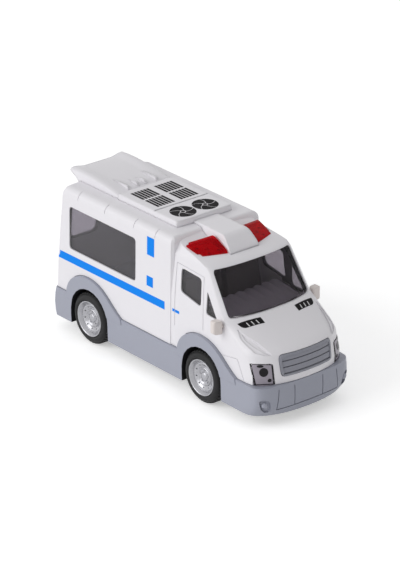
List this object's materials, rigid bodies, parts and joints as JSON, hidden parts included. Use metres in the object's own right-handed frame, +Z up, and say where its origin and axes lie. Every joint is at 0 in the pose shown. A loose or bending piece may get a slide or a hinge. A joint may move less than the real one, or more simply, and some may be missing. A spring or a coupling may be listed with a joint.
{
  "type": "toy police van",
  "caption": "Box-bodied toy police van with a grey skirt and bumper, smoked windows, red roof beacons, a roof pod and spoiler, friction-driven rear wheels and a power switch underneath.",
  "frame": {"origin": "centre of the bounding box in plan, on the floor under the tyres", "axes": "+X forward, +Y the van's left, +Z up"},
  "size_m": [0.2284, 0.0956, 0.1173],
  "materials": {
    "white_plastic": "moulded, satin gloss",
    "grey_plastic": "moulded, satin",
    "dark_plastic": "moulded, fine grain",
    "smoked_clear": "polished smoked clear plastic",
    "red_clear": "polished transparent red plastic",
    "lens_clear": "polished clear plastic",
    "cream_plastic": "moulded, satin gloss",
    "silver_plastic": "silver-coated plastic",
    "tyre_rubber": "matt rubber",
    "steel": "drawn, bright",
    "brass": "stamped strip",
    "board": "printed board",
    "nylon": "natural nylon"
  },
  "bodies": {
    "body": {"body_shell": "white_plastic", "roof_pod": "white_plastic", "rear_spoiler": "white_plastic", "lower_body": "grey_plastic", "grille": "grey_plastic", "chassis_plate": "dark_plastic", "cab_interior": "dark_plastic", "speaker": "dark_plastic", "battery_cover": "dark_plastic", "cab_glazing": "smoked_clear", "side_window_right": "smoked_clear", "side_window_left": "smoked_clear", "rear_window_right": "smoked_clear", "rear_window_left": "smoked_clear", "headlight_right": "lens_clear", "headlight_left": "lens_clear", "led_right": "lens_clear", "led_left": "lens_clear", "mirror_right": "cream_plastic", "mirror_left": "cream_plastic", "beacon_right": "red_clear", "beacon_left": "red_clear", "circuit_board": "board", "battery_screw": "steel", "cell_1": "steel", "cell_2": "steel", "cell_3": "steel", "chassis_screw_1": "steel", "chassis_screw_2": "steel", "chassis_screw_3": "steel", "chassis_screw_4": "steel", "contact_rear": "brass", "contact_front": "brass", "motor_frame": "nylon"},
    "front_wheelset": {"front_axle": "steel", "front_rim_right": "silver_plastic", "front_rim_left": "silver_plastic", "front_tyre_right": "tyre_rubber", "front_tyre_left": "tyre_rubber"},
    "rear_wheelset": {"rear_axle": "steel", "rear_rim_right": "silver_plastic", "rear_rim_left": "silver_plastic", "rear_tyre_right": "tyre_rubber", "rear_tyre_left": "tyre_rubber", "axle_gear": "nylon"},
    "idler": {"idler_gear": "nylon"},
    "flywheel": {"flywheel_pinion": "steel", "flywheel_disc": "steel"},
    "power_switch": {"switch_knob": "dark_plastic"}
  },
  "joints": [
    {"name": "front_axle_spin", "type": "hinge", "parent": "body", "child": "front_wheelset", "pos_m": [0.0505, 0, 0.0192], "axis": [0, 1, 0], "continuous": true},
    {"name": "rear_axle_spin", "type": "hinge", "parent": "body", "child": "rear_wheelset", "pos_m": [-0.0725, 0, 0.0192], "axis": [0, 1, 0], "continuous": true},
    {"name": "idler_spin", "type": "hinge", "parent": "body", "child": "idler", "pos_m": [-0.06513, 0, 0.02436], "axis": [0, 1, 0], "continuous": true},
    {"name": "flywheel_spin", "type": "hinge", "parent": "body", "child": "flywheel", "pos_m": [-0.05666, 0, 0.0251], "axis": [0, 1, 0], "continuous": true},
    {"name": "power_switch_slide", "type": "slide", "parent": "body", "child": "power_switch", "axis": [1, 0, 0], "range_m": [0, 0.004]}
  ],
  "couplings": [
    {"joint": "idler_spin", "follows": "rear_axle_spin", "ratio": -2},
    {"joint": "flywheel_spin", "follows": "rear_axle_spin", "ratio": 6.5}
  ]
}
